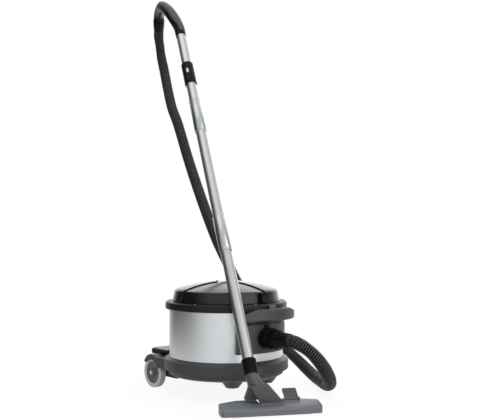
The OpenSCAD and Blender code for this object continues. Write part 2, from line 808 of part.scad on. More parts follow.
module head_sole() {
    slot = [200, 16];
    color("#b4b7ba") in_head() difference() {
        union() {
            translate([0, 0, 2.6]) linear_extrude(2.4) head_plan(2.6);
            // Two runners that the head rests on
            for (side = [-1, 1])
                translate([side * 112, -4, 0]) round_plate([14, 40, 2.6], 4);
            // Bearing blocks of the two rollers
            for (x = [-roller_x, roller_x], s = [-1, 1])
                translate([x + s * 10 - 2, roller_at[0] - 4, 4]) cube([4, 8, 8]);
        }
        translate([-roller_x - 20, roller_at[0], roller_at[1]]) along_x()
            cylinder(h = 2 * roller_x + 40, r = 1.5 + fit);
        translate([0, -8, -1]) linear_extrude(10) square(slot, center = true);
        for (y = brush_y)
            translate([0, y, -1]) linear_extrude(10) square([214, 5], center = true);
        for (side = [-1, 1])
            translate([side * roller_x, roller_at[0], -1]) linear_extrude(10)
                square([16, 17], center = true);
    }
}

module brush_carrier() {
    color("#55585b") in_head() difference() {
        translate([-110, brush_y[0] - 3, 6]) cube([220, brush_y[1] - brush_y[0] + 6, 4]);
        translate([-104, brush_y[0] + 3, 5]) cube([208, brush_y[1] - brush_y[0] - 6, 6]);
    }
}

module brush_strips() {
    color("#1a1a1b") in_head() for (y = brush_y)
        translate([-104, y - 1.5, 0.3]) cube([208, 3, 5.7]);
}

module pedal() {
    color("#36373a") in_head() difference() {
        translate([pedal_x - pedal_w / 2, 0, 0]) rotate([90, 0, 90]) linear_extrude(pedal_w) {
            translate(pedal_hinge) circle(r = 4);
            polygon([
                [pedal_hinge[0] - 3, pedal_hinge[1] + 2.6],
                [pedal_hinge[0] + 3, pedal_hinge[1] - 2.6], [38, 50], [39, 54], [36, 57],
                [31, 56]
            ]);
        }
        translate([0, pedal_hinge[0], pedal_hinge[1]]) along_x()
            cylinder(h = 120, r = 2 + fit);
    }
}

module pedal_pin() {
    color("#b9bcc0") in_head()
        translate([pedal_x - pedal_w / 2 - 3, pedal_hinge[0], pedal_hinge[1]])
            along_x() cylinder(h = pedal_w + 6, r = 2);
}

module head_roller(side) {
    color("#55585b") in_head()
        translate([side * roller_x, roller_at[0], roller_at[1]]) along_x() {
            translate([0, 0, -5]) cylinder(h = 10, r = roller_r);
            translate([0, 0, -11.5]) cylinder(h = 23, r = 1.5);
        }
}

// ---- Lid ----

// Height of the lid's dome at radius r
function dome_z(r) =
    let (rise = dome_top - dome_edge, half = dome_r - 4, ball = (half * half + rise * rise)
        / (2 * rise))
        dome_top - ball + sqrt(ball * ball - r * r);

module lid_rim() {
    color("#26272a") on_axis() difference() {
        rotate_extrude() polygon([
            [tub_r + 1.3, rim_low], [rim_r - 2, rim_low], [rim_r, rim_low + 2.5],
            [rim_r, rim_high - 6], [rim_r - 1.5, rim_high - 2.5], [rim_r - 5, rim_high],
            [dome_r - 3, rim_high], [dome_r - 3, 262], [tub_r + 1.3, 262]
        ]);
        // The handle's grip and the catches' fingers pass the rim here
        for (turn = [catch_turn, rear])
            rotate(turn) translate([rim_r - 1, -13, 0]) cube([20, 26, 257.5]);
    }
    // Eyes of the catches' pins
    color("#26272a") for (turn = [catch_turn, rear], side = [-1, 1])
        on_axis_at(turn, rim_r - 1.5, 262) translate([0, side * 14.5, 0]) difference() {
            union() {
                translate([0, -1.3, -3]) cube([4.5, 2.6, 6]);
                translate([4.5, 1.3, 0]) along_y() cylinder(h = 2.6, r = 3);
            }
            translate([4.5, 5, 0]) along_y() cylinder(h = 10, r = 1.2 + fit);
        }
}

module lid_dome() {
    steps = 12;
    color("#1e1f21") on_axis() rotate_extrude() polygon(concat(
        [[dome_r, rim_high], [dome_r - 1, dome_edge - 4], [dome_r - 4, dome_edge]],
        [for (i = [1 : steps]) let (r = (dome_r - 4) * (1 - i / steps)) [r, dome_z(r)]],
        [for (i = [steps : -1 : 0])
            let (r = (dome_r - 6) * (1 - i / steps)) [r, dome_z(r) - 2.6]],
        [[dome_r - 3, dome_edge - 5], [dome_r - 3, rim_high]]));
}

module lid_wings() {
    steps = 10;
    color("#2a2b2e") on_axis() for (turn = [wing_turn, wing_turn + 180])
        arc_solid(concat(
            [[dome_r, rim_high], [dome_r + 8, rim_high], [dome_r + 8, rim_high + 3],
            [dome_r + 2, dome_edge - 2], [dome_r - 3, dome_edge + 3]],
            [for (i = [0 : steps]) let (r = 140 - i * 11) [r, dome_z(r) + 3.4]],
            [for (i = [steps : -1 : 0]) let (r = 140 - i * 11) [r, dome_z(r) + 0.1]],
            [[dome_r - 4, dome_edge + 0.1], [dome_r - 0.9, dome_edge - 4]]
        ), turn, wing_angle);
}

module lid_seal() {
    color("#101011") on_axis() pipe(tub_high, 262, tub_r + 1, 160);
}

module power_switch() {
    // Rocker on a level pin, in the lid's wall
    color("#101112") on_axis_at(switch_turn, dome_r + 9, 282.5) difference() {
        rotate([90, 0, 0]) translate([0, 0, -7]) linear_extrude(14) polygon([
            [-4, -9], [3.4, -10], [1, 0], [1.6, 10], [-4, 9]
        ]);
        translate([-1.5, 10, 0]) along_y() cylinder(h = 20, r = 1.2 + fit);
    }
}

module switch_frame() {
    color("#17181a") on_axis_at(switch_turn, dome_r + 9, 282.5) {
        difference() {
            translate([-12, -11, -14.3]) cube([13, 22, 29]);
            translate([-7, -7.3, -11.5]) cube([30, 14.6, 23]);
            translate([-dome_r - 9, 0, -20]) cylinder(h = 60, r = dome_r);
        }
        translate([-1.5, 9, 0]) along_y() cylinder(h = 18, r = 1.2);
    }
}

module cord_gland() {
    color("#17181a") on_axis_at(gland_turn, dome_r - 2, 284) along_x() difference() {
        rotate_extrude() polygon([[0, 0], [10, 0], [10, 5], [7, 8], [5.5, 26], [0, 26]]);
        translate([0, 0, 8]) cylinder(h = 30, r = 3.6);
        // The lid's round wall, which it sits against
        translate([-20, 0, 2 - dome_r]) along_x() cylinder(h = 40, r = dome_r);
    }
}

module catch_lever(turn) {
    // Seen from the side, from the pin's middle: out from the lid and down to the toe
    color("#4d5053") on_axis_at(turn, rim_r + 3, 262) along_y() {
        translate([0, 0, -12.5]) linear_extrude(25) {
            circle(r = 2.6);
            polygon([
                [-0.5, -2.5], [2.6, 0], [3.4, -12], [3.4, -31], [-5.6, -31],
                [-5.6, -28], [0.4, -27.6], [0.4, -14]
            ]);
        }
        translate([0, 0, -16]) cylinder(h = 32, r = 1.2);
    }
}

module catch_keepers() {
    color("#8d9094") for (turn = [catch_turn, rear])
        on_axis_at(turn, 0, 234.5) intersection() {
            translate([0, -11, 0]) cube([rim_r + 1, 22, 14]);
            rotate_extrude() polygon([
                [turn == rear ? tub_r : 170, 0], [rim_r, 0], [rim_r, 2.5],
                [turn == rear ? tub_r + 2 : 172, 2.5],
                [turn == rear ? tub_r + 2 : 172, 12], [turn == rear ? tub_r : 170, 12]
            ]);
        }
}

// ---- Inside ----

module motor_plate() {
    color("#3d4043") on_axis() rotate_extrude() polygon([
        [26, 208], [100, 208], [100, 258], [159.5, 258], [159.5, 262], [96, 262],
        [96, 212], [26, 212]
    ]);
}

module fan_case() {
    color("#9a9da0") on_axis() rotate_extrude() polygon([
        [24, 212], [72, 212], [72, motor_low], [12, motor_low], [12, motor_low - 2],
        [69, motor_low - 2], [69, 214], [24, 214]
    ]);
}

module motor_body() {
    color("#6b6e71") on_axis() difference() {
        rotate_extrude() polygon([
            [9, motor_low], [motor_r, motor_low], [motor_r, motor_high - 6],
            [motor_r - 14, motor_high], [9, motor_high], [9, motor_high - 8],
            [34, motor_high - 10], [34, motor_low + 7], [9, motor_low + 7]
        ]);
        for (a = [0 : 30 : 330]) rotate(a)
            translate([28, -4, motor_high - 12]) cube([40, 8, 5]);
    }
}

module motor_bearings() {
    color("#b9bcc0") on_axis() {
        pipe(motor_low, motor_low + 7, 9, shaft_r + fit);
        pipe(motor_high - 8, motor_high, 9, shaft_r + fit);
    }
}

module brush_holders() {
    color("#c29a4b") on_axis() for (a = [0, 180]) rotate(a)
        translate([15.5, -4, motor_high - 24]) cube([18.3, 8, 8]);
}

module motor_shaft() {
    color("#a9532c") on_axis() {
        translate([0, 0, 213]) cylinder(h = motor_high + 3 - 213, r = shaft_r);
        translate([0, 0, motor_low + 10]) cylinder(h = 28, r = 30);
        translate([0, 0, motor_high - 27]) cylinder(h = 14, r = 15);
    }
}

module fan() {
    color("#b4b7ba") on_axis() {
        pipe(217, 219, fan_r, shaft_r);
        pipe(229, 231, fan_r, 30);
        pipe(217, 227, 9, shaft_r);
        for (a = [0 : 45 : 315]) rotate(a) translate([14, 0, 218])
            rotate(25) translate([0, -0.7, 0]) cube([46, 1.4, 12]);
    }
}

module exhaust_filter() {
    color("#e6e4dc") on_axis() pipe(262, 284, 128, 98);
}

module main_filter() {
    color("#e6e4dc") on_axis() difference() {
        translate([0, 0, 194]) cylinder(h = 63.7, r = 130);
        translate([0, 0, 197]) cylinder(h = 70, r = 104);
        for (a = [0 : 10 : 350]) rotate(a) translate([129, -2, 190]) cube([4, 4, 60]);
    }
}

module bag_collar() {
    color("#8f7b55") on_axis() translate([0, 0, inlet_z]) along_y() difference() {
        translate([-34, -34, 144]) cube([68, 68, 4]);
        translate([0, 0, 140]) cylinder(h = 20, r = inlet_bore + 3);
    }
}

module dust_bag() {
    color("#c9b48a") on_axis() difference() {
        rotate_extrude() polygon([
            [0, 99], [118, 99], [134, 108], [140, 130], [140, 165], [132, 184], [112, 191],
            [0, 191]
        ]);
        translate([-80, -160, 95]) cube([160, 30, 110]);
    }
    color("#c9b48a") on_axis() translate([0, 0, inlet_z - 6]) along_y()
        translate([0, 0, 125]) cylinder(h = 18.5, r = 22);
}

// ---- Fasteners ----

module screws() {
    color("#8d9094") {
        for (a = [20 : 60 : 320]) on_axis() rotate(a) translate([168, 0, rim_high])
            cylinder(h = 1.2, r = 3.2);
        for (a = [30, 150, 210, 330]) on_axis() rotate(a) translate([140, 0, base_low - 1.5])
            cylinder(h = 1.5, r = 4);
    }
}

chassis();
tub();
rear_shelf();
shelf_tray();
front_panel();
carry_handle();
inlet_socket();
hose_connector();
suction_hose();
hose_cuff_top();
handle_bend();
handle_top_shell();
handle_tube();
regulator_sleeve();
upper_tube();
lower_tube();
tube_sleeves();
neck_collar();
neck_elbow();
neck_yoke();
yoke_pin();
head_shell();
head_sole();
brush_carrier();
brush_strips();
pedal();
pedal_pin();
head_roller(-1);  // head_roller_left
head_roller(1);  // head_roller_right
lid_rim();
lid_dome();
lid_wings();
lid_seal();
motor_plate();
fan_case();
motor_body();
motor_bearings();
brush_holders();
motor_shaft();
fan();
exhaust_filter();
main_filter();
bag_collar();
dust_bag();
power_switch();
switch_frame();
cord_gland();
catch_keepers();
catch_lever(catch_turn);  // catch_front
catch_lever(rear);  // catch_rear
screws();
rear_axle();
hub(-1);  // hub_left
hub(1);  // hub_right
tyre(-1);  // tyre_left
tyre(1);  // tyre_right
castor_fork();
castor_wheel();
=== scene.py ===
# Tub vacuum cleaner with its wand leaning on the lid: visible pieces, finishes, floor, light, camera.
# Lengths in the tables are millimetres, measured from the tub's upright axis as in the solid model.

import json
import math

import bmesh
import bpy
from bpy.props import FloatProperty, FloatVectorProperty, IntProperty, PointerProperty
from mathutils import Matrix, Vector


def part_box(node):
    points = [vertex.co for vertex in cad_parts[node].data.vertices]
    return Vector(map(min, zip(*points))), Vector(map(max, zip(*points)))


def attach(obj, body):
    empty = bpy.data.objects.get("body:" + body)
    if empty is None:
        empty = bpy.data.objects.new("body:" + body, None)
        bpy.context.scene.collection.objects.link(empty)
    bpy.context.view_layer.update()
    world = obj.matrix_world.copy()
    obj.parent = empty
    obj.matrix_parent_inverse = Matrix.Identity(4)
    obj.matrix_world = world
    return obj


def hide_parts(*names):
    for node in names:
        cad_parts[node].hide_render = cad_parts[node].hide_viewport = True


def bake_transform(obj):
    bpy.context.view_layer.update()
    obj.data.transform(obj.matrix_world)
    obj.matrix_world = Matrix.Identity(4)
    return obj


bl_info = {
    "name": "Tub vacuum cleaner",
    "version": (1, 0, 0),
    "blender": (4, 5, 0),
    "location": "3D View > Sidebar > Vacuum",
    "description": "Builds a round steel tub vacuum cleaner with wand, hose and floor head",
    "category": "Object",
}

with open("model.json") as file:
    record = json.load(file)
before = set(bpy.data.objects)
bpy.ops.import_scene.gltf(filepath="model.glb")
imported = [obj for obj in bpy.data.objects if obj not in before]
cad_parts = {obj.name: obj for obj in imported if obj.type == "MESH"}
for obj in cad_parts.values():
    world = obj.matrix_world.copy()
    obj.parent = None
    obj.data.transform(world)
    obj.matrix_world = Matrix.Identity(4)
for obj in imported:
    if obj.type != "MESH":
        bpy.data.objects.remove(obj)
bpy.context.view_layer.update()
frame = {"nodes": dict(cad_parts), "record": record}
BODY_OF = {n: b for b, nodes in frame["record"]["behaviour"]["bodies"].items() for n in nodes}
MM = 0.001
STEPS_PER_SPAN = 16
ROUNDING_MAY_GROW = 0.3 * MM
WELD = 0.002 * MM
MAT_PITCH = 4 * math.pi

# The studio, in metres
FLOOR_SIZE, FLOOR_DROP = 60, 0.0005
FLOOR_GLOW, FLOOR_GLOW_SHARE = 1.03, 0.88
FLOOR_MIRRORED, FLOOR_FADES_FROM, FLOOR_FADES_TO = 0.85, 0.6, 1.7

# Places, as in the solid model
TUB_AXIS = (-2, -147)
WAND_FOOT = (-132, -256, 133.3)
WAND_LEAN, WAND_TURN = 34, 69.25
PIVOT, PIVOT_IN_HEAD, HEAD_TURN = (-100, -308), (3, -4.5), -27.2
BEND_START = 1206
HANDLE_END = (200, 644, 1259)
HANDLE_BORE = 13.5
CONNECTOR_END = (0, -273.6, 175)
CAMERA_AT, CAMERA_HEADING = (-1511.3, -1864.9, 470), -40
CAMERA_LENS, CAMERA_SENSOR, CAMERA_SHIFT = 60.9, 36, 22 / 480
HOSE_ROUTE = [
    (0, -276, 175), (0, -288, 175), (7, -314, 166), (19, -334, 150), (37, -345, 128),
    (62, -344, 101), (98, -325, 72), (150, -278, 44), (205, -212, 25), (252, -145, 20),
    (290, -78, 22), (308, -22, 38), (305, 15, 62), (284, 42, 92), (250, 66, 137),
    (207, 107, 216), (175, 158, 305), (163, 200, 378), (160, 250, 450), (172, 340, 572),
    (195, 450, 721), (208, 532, 857), (225, 596, 930), (245, 652, 1010),
    (257, 692, 1085), (257, 711, 1140), (249, 709, 1180), (235, 697, 1214),
    (218, 671, 1236),
]


def turned(angle, axis):
    return Matrix.Rotation(math.radians(angle), 4, axis)


def moved(x, y, z):
    return Matrix.Translation((x, y, z))


MACHINE = moved(TUB_AXIS[0], TUB_AXIS[1], 0)
WAND = MACHINE @ moved(*WAND_FOOT) @ turned(WAND_TURN, "Z") @ turned(WAND_LEAN, "Y")
HEAD = MACHINE @ moved(PIVOT[0], PIVOT[1], 0) @ turned(HEAD_TURN, "Z") @ moved(
    -PIVOT_IN_HEAD[0], -PIVOT_IN_HEAD[1], 0)


def on_wand(s):
    """A point of the wand's middle line, from the tub's axis."""
    return MACHINE.inverted() @ (WAND @ Vector((0, 0, s)))


CUFF_WAY = Vector(HOSE_ROUTE[-1]) - Vector(HANDLE_END)
HANDLE_ROUTE = [on_wand(BEND_START), on_wand(BEND_START + 24), (118, 410, 1180),
    (124, 466, 1235), (144, 538, 1274), (170, 592, 1279),
    Vector(HANDLE_END) - CUFF_WAY / 2, HANDLE_END]


# ---- Sizes and colours that a user would change ----

def colour_property(name, description, hex_value):
    rgb = [int(hex_value[i:i + 2], 16) / 255 for i in (1, 3, 5)]
    return FloatVectorProperty(name=name, description=description, default=rgb, size=3,
        min=0, max=1, subtype="COLOR_GAMMA")


def length_property(name, description, millimetres):
    return FloatProperty(name=name, description=description, default=millimetres * MM,
        min=0, unit="LENGTH", subtype="DISTANCE", precision=4)


class VacuumColours(bpy.types.PropertyGroup):
    base: colour_property("Base", "Dark grey moulded ABS of the base", "#3b3d41")
    panel: colour_property("Front panel", "Dark grey moulded ABS of the front panel", "#393b3f")
    lid: colour_property("Lid", "Near black polypropylene of the lid", "#161619")
    head: colour_property("Floor head", "Mid grey moulded ABS of the floor head", "#70737a")
    joint: colour_property("Elbow and yoke", "Grey nylon of the joint over the head", "#535452")
    pedal: colour_property("Pedal", "Dark grey moulded pedal", "#505155")
    black: colour_property("Black parts", "Black moulded parts and fittings", "#121214")
    hose: colour_property("Hose", "Black polyethylene of the hose", "#050506")
    shell: colour_property("Handle shell", "Mid grey shell on the bent handle", "#3c3e40")
    steel: colour_property("Tub steel", "Stainless steel of the tub", "#e4e7e9")
    aluminium: colour_property("Tubes", "Anodised aluminium of the wand", "#c8c9c5")
    tyre: colour_property("Tyres", "Light grey rubber of the rear tyres", "#e2e8e9")
    hub: colour_property("Hubs", "Dark grey moulded hubs", "#66676c")
    tray: colour_property("Shelf tray", "Pale grey mat on the rear shelf", "#8c8987")


class VacuumSizes(bpy.types.PropertyGroup):
    rib_pitch: length_property("Hose rib pitch", "Distance between the hose's turns", 5.6)
    rib_out: length_property("Hose rib radius", "Radius over the hose's ribs", 18.4)
    rib_in: length_property("Hose groove radius", "Radius in the hose's grooves", 16.0)
    edge: length_property("Edge rounding", "Rounding of the moulded parts' edges", 1)
    tufts: IntProperty(name="Tufts", description="Tufts in each brush row", default=64, min=4)
    tuft_height: length_property("Tuft height", "Length of the brush hair", 5.7)


# ---- Nodes and finishes ----

def linear(value):
    """An sRGB hex value, or three sRGB numbers, as linear colour with alpha."""
    if isinstance(value, str):
        value = [int(value[i:i + 2], 16) / 255 for i in (1, 3, 5)]
    return (*[c / 12.92 if c <= 0.04045 else ((c + 0.055) / 1.055) ** 2.4 for c in value], 1)


def add(tree, kind, inputs=None, **settings):
    """Adds a node to a tree. An input that is a socket is linked, and any other is a value."""
    made = tree.nodes.new(kind)
    for key, value in settings.items():
        setattr(made, key, value)
    for key, value in (inputs or {}).items():
        if isinstance(value, bpy.types.NodeSocket):
            tree.links.new(value, made.inputs[key])
        else:
            made.inputs[key].default_value = value
    return made


def finish_of(name, colour, roughness, metallic=0.0, pattern=None, depth=0.0, bump_mm=1.0,
        tint=0.06, gloss_swing=0.08, second=None, **surface):
    """A finish on one principled shader. pattern gives a 0 to 1 socket from the piece's coordinates.
    A surface value of two numbers follows it, and so does the colour where there is a second."""
    made = bpy.data.materials.new(name)
    made.use_nodes = True
    tree = made.node_tree
    tree.nodes.clear()
    place = add(tree, "ShaderNodeTexCoord").outputs["Object"]
    shade = linear(colour)
    dark = tuple(c * (1 - tint) for c in shade[:3]) + (1,)
    light = tuple(min(1, c * (1 + tint)) for c in shade[:3]) + (1,)
    cloud = add(tree, "ShaderNodeTexNoise", {"Vector": place, "Scale": 9.0, "Detail": 3.0})
    mark = pattern(tree, place) if pattern else cloud.outputs["Fac"]
    both = add(tree, "ShaderNodeMath", {0: cloud.outputs["Fac"], 1: mark}, operation="ADD")
    half = add(tree, "ShaderNodeMath", {0: both.outputs[0], 1: 0.5}, operation="MULTIPLY")
    ramp = add(tree, "ShaderNodeMix", {"Factor": mark if second else half.outputs[0],
        "A": shade if second else dark, "B": linear(second) if second else light},
        data_type="RGBA")
    rough = add(tree, "ShaderNodeMapRange", {"Value": half.outputs[0],
        "To Min": max(0.05, roughness - gloss_swing), "To Max": min(1, roughness + gloss_swing)})
    shader = add(tree, "ShaderNodeBsdfPrincipled", {"Metallic": metallic})
    for key, value in surface.items():
        into = shader.inputs[key.replace("_", " ")]
        if isinstance(value, tuple):
            follows = add(tree, "ShaderNodeMapRange", {"Value": mark, "To Min": value[0],
                "To Max": value[1]})
            tree.links.new(follows.outputs["Result"], into)
        else:
            into.default_value = value
    tree.links.new(ramp.outputs["Result"], shader.inputs["Base Color"])
    tree.links.new(rough.outputs["Result"], shader.inputs["Roughness"])
    if depth:
        bump = add(tree, "ShaderNodeBump", {"Strength": depth, "Distance": bump_mm * MM,
            "Height": mark})
        tree.links.new(bump.outputs["Normal"], shader.inputs["Normal"])
    end = add(tree, "ShaderNodeOutputMaterial", {"Surface": shader.outputs["BSDF"]})
    end.target = "ALL"
    return made


def grain(size_mm):
    """Fine moulded grain. Real grain is about 0.3 mm, drawn coarser so that it shows."""
    def pattern(tree, place):
        return add(tree, "ShaderNodeTexNoise", {"Vector": place, "Scale": 1 / (size_mm * MM),
            "Detail": 2.0, "Roughness": 0.6}).outputs["Fac"]
    return pattern


def hairlines(matrix, across_mm, along_mm):
    """Brush lines round a drum or along a tube: noise that is long one way and fine the other."""
    def pattern(tree, place):
        mapped = add(tree, "ShaderNodeMapping", {"Vector": place, "Rotation": matrix.to_euler(),
            "Scale": (1 / (along_mm[0] * MM), 1 / (along_mm[1] * MM), 1 / (across_mm * MM))})
        return add(tree, "ShaderNodeTexNoise", {"Vector": mapped.outputs["Vector"], "Scale": 1.0,
            "Detail": 3.0, "Roughness": 0.7}).outputs["Fac"]
    return pattern


def pressed_lines(pitch_mm):
    """Straight pressed lines across the piece. At a scale of 1 a wave is 2 pi / 20 metres long."""
    def pattern(tree, place):
        scale = 2 * math.pi / (20 * pitch_mm * MM)
        return add(tree, "ShaderNodeTexWave", {"Vector": place, "Scale": scale},
            bands_direction="Y").outputs["Fac"]
    return pattern


def felt(size_mm):
    """Tangled fibres of felt and paper."""
    def pattern(tree, place):
        fibre = add(tree, "ShaderNodeTexNoise", {"Vector": place, "Scale": 1 / (size_mm * MM),
            "Detail": 6.0, "Distortion": 2.0})
        return fibre.outputs["Fac"]
    return pattern


def crests():
    """High on the crests of ribs, from the height that the mesh carries. It places a painted highlight
    along each rib.
    """
    def pattern(tree, place):
        return add(tree, "ShaderNodeAttribute", attribute_name="crest").outputs["Fac"]
    return pattern


FINISHES = {}


def finish(name):
    return FINISHES[name]


def make_finishes(colours):
    F = FINISHES
    # ABS from a spark-eroded mould: an even, dull dark grey with a soft sheen
    F["base"] = finish_of("moulded ABS dark grey", colours.base, 0.46, pattern=grain(1.6), depth=0.10,
        bump_mm=0.15, IOR=1.53)
    F["panel"] = finish_of("moulded ABS panel", colours.panel, 0.44, pattern=grain(1.6), depth=0.08,
        bump_mm=0.15, IOR=1.53)
    # Polypropylene: a little waxy, lighter where light grazes it
    F["lid"] = finish_of("moulded polypropylene lid", colours.lid, 0.24, pattern=grain(1.8), depth=0.08,
        bump_mm=0.15, IOR=1.49)
    F["rim"] = finish_of("moulded polypropylene rim", "#232427", 0.40, pattern=grain(1.8), depth=0.06,
        bump_mm=0.15, IOR=1.49, Specular_IOR_Level=0.18)
    F["head"] = finish_of("moulded ABS mid grey head", colours.head, 0.42, pattern=grain(1.6),
        depth=0.10, bump_mm=0.15, IOR=1.53)
    F["joint"] = finish_of("moulded nylon grey joint", colours.joint, 0.44, pattern=grain(1.4),
        depth=0.10, bump_mm=0.15, IOR=1.53)
    F["pedal"] = finish_of("moulded ABS pedal", colours.pedal, 0.40, pattern=grain(1.6), depth=0.08,
        bump_mm=0.15, IOR=1.53)
    F["black"] = finish_of("moulded nylon black", colours.black, 0.38, pattern=grain(1.2), depth=0.06,
        bump_mm=0.12, IOR=1.53, Specular_IOR_Level=0.12)
    # Blown polyethylene: smooth and slightly shiny. The crest of each turn of the rib is painted a
    # lighter grey, a painted highlight, and is glossier there
    F["hose"] = finish_of("blown polyethylene hose", colours.hose, 0.34, pattern=crests(),
        second="#54565a", gloss_swing=0.04, IOR=1.51, Specular_IOR_Level=(0.02, 0.35))
    F["shell"] = finish_of("moulded ABS mid grey", colours.shell, 0.48, pattern=grain(1.6), depth=0.12,
        bump_mm=0.15, IOR=1.53)
    # Stainless sheet rolled to a drum: hairlines round it, and soft upright streaks of light
    F["steel"] = finish_of("brushed stainless steel", colours.steel, 0.38, 1.0,
        pattern=hairlines(Matrix.Identity(3), 1.2, (160, 160)), depth=0.05, bump_mm=0.05,
        tint=0.035, gloss_swing=0.05, Anisotropic=0.5)
    F["aluminium"] = finish_of("anodised aluminium tube", colours.aluminium, 0.36, 1.0,
        pattern=hairlines(WAND.to_3x3().inverted(), 60, (1.5, 1.5)), depth=0.03, bump_mm=0.05,
        tint=0.03, gloss_swing=0.04)
    F["sleeve"] = finish_of("anodised aluminium sleeve", "#bdc2c0", 0.30, 1.0,
        pattern=hairlines(WAND.to_3x3().inverted(), 60, (1.5, 1.5)), depth=0.03, bump_mm=0.05,
        tint=0.03, gloss_swing=0.04)
    # Thermoplastic rubber: pale, dull, with fine dust in it
    F["tyre"] = finish_of("thermoplastic rubber tyre", colours.tyre, 0.58, pattern=grain(2.2),
        depth=0.15, bump_mm=0.2, tint=0.08)
    F["tread"] = finish_of("black rubber tread", "#26272a", 0.6, pattern=grain(1.5), depth=0.12,
        bump_mm=0.2)
    F["hub"] = finish_of("moulded ABS hub", colours.hub, 0.42, pattern=grain(1.4), depth=0.08,
        bump_mm=0.15, IOR=1.53)
    F["tray"] = finish_of("ribbed rubber mat", colours.tray, 0.55,
        pattern=pressed_lines(MAT_PITCH), depth=0.25, bump_mm=0.4, tint=0.04)
    F["pin"] = finish_of("bright drawn steel", "#c9ccd0", 0.22, 1.0, pattern=grain(1), depth=0.02,
        bump_mm=0.05, tint=0.03, gloss_swing=0.05)
    F["sole"] = finish_of("rolled stainless sheet", "#bfc2c4", 0.30, 1.0,
        pattern=hairlines(HEAD.to_3x3().inverted(), 60, (120, 0.8)), depth=0.05, bump_mm=0.05,
        tint=0.04)
    F["zinc"] = finish_of("zinc plated steel", "#8f9297", 0.35, 1.0, pattern=grain(1), depth=0.04,
        bump_mm=0.05)
    F["hair"] = finish_of("black nylon bristle", "#151516", 0.5, pattern=grain(0.8), depth=0.1,
        bump_mm=0.1)
    F["seal"] = finish_of("foam rubber seal", "#161617", 0.8, pattern=felt(1.2), depth=0.3, bump_mm=0.2)
    F["filled"] = finish_of("glass filled nylon", "#3a3d40", 0.5, pattern=felt(2), depth=0.1,
        bump_mm=0.15)
    F["motor"] = finish_of("painted pressed steel", "#6c6f72", 0.4, 0.2, pattern=grain(2), depth=0.06,
        bump_mm=0.1, Coat_Weight=0.2)
    F["fan"] = finish_of("pressed aluminium sheet", "#bfc1c3", 0.3, 1.0, pattern=grain(2), depth=0.04,
        bump_mm=0.05)
    F["copper"] = finish_of("enamelled copper winding", "#a9552e", 0.3, 1.0,
        pattern=hairlines(Matrix.Identity(3), 0.9, (80, 80)), depth=0.3, bump_mm=0.2)
    F["brass"] = finish_of("pressed brass", "#c39c50", 0.28, 1.0, pattern=grain(1.5), depth=0.03,
        bump_mm=0.05)
    F["felt"] = finish_of("needled polyester felt", "#e2e0d8", 0.9, pattern=felt(1.4), depth=0.4,
        bump_mm=0.4, Sheen_Weight=0.3)
    F["paper"] = finish_of("brown filter paper", "#c6b088", 0.85, pattern=felt(3), depth=0.35,
        bump_mm=0.3, Sheen_Weight=0.1)
    F["gloss"] = finish_of("glossy ABS black", "#0d0e10", 0.16, pattern=grain(2), depth=0.02,
        bump_mm=0.05, IOR=1.53)


# ---- Making pieces ----

def piece_of(name, mesh, material, body, *stands_for):
    """A finished mesh as a piece that rides on a body and stands for solids of the frame."""
    made = bpy.data.objects.new(name, mesh)
    bpy.context.scene.collection.objects.link(made)
    made.data.materials.clear()
    made.data.materials.append(material)
    if stands_for:
        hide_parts(*stands_for)
    if body:
        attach(made, body)
    return made


def dress(node, material):
    """Gives a solid of the frame its finish."""
    made = frame["nodes"][node]
    made.data.materials.clear()
    made.data.materials.append(material)


def applied(mesh, modifiers):
    """The mesh with modifiers applied. Each is (kind, settings)."""
    holder = bpy.data.objects.new("working", mesh)
    bpy.context.scene.collection.objects.link(holder)
    for kind, settings in modifiers:
        made = holder.modifiers.new(kind.title(), kind)
        for key, value in settings.items():
            setattr(made, key, value)
    bpy.context.view_layer.update()
    graph = bpy.context.evaluated_depsgraph_get()
    done = bpy.data.meshes.new_from_object(holder.evaluated_get(graph), depsgraph=graph)
    bpy.data.objects.remove(holder)
    return done


def softened(node, material, width_mm=1.0, segments=2, angle=30, crease=35):
    """A copy of a solid with its moulded edges rounded, which stands for it."""
    mesh = frame["nodes"][node].data
    work = bmesh.new()
    work.from_mesh(mesh)
    bmesh.ops.remove_doubles(work, verts=work.verts, dist=WELD)
    bmesh.ops.dissolve_limit(work, angle_limit=math.radians(0.3), verts=work.verts, edges=work.edges)
    clean = bpy.data.meshes.new(node + "_soft")
    work.to_mesh(clean)
    work.free()
    clean.shade_smooth()
    rounded = applied(clean, [
        ("BEVEL", dict(width=width_mm * MM, segments=segments, limit_method="ANGLE",
            angle_limit=math.radians(angle), use_clamp_overlap=True, miter_outer="MITER_SHARP")),
    ])
    low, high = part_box(node)
    spots = [v.co for v in rounded.vertices]
    out = max(max(low[i] - min(p[i] for p in spots), max(p[i] for p in spots) - high[i])
        for i in range(3))
    if out > ROUNDING_MAY_GROW:
        print("softened: kept plain", node, round(out / MM, 2))
        rounded = clean.copy()
    rounded.shade_smooth()
    rounded.set_sharp_from_angle(angle=math.radians(crease))
    done = applied(rounded, [("WEIGHTED_NORMAL", dict(keep_sharp=True, weight=60))])
    return piece_of("visible_" + node, done, material, BODY_OF[node], node)


def span(points, i, t):
    """A smooth point between points i and i + 1, as in the solid model."""
    def way(k):
        if k <= 1:
            return points[1] - points[0]
        if k >= len(points) - 2:
            return points[-1] - points[-2]
        return (points[k + 1] - points[k - 1]) / 2
    return ((1 + 2 * t) * (1 - t) ** 2 * points[i] + t * (1 - t) ** 2 * way(i)
        + t * t * (3 - 2 * t) * points[i + 1] - t * t * (1 - t) * way(i + 1))


def smooth_line(route, steps):
    points = [Vector(p) for p in route]
    line = [span(points, i, k / steps) for i in range(len(points) - 1) for k in range(steps)]
    return line + [points[-1]]


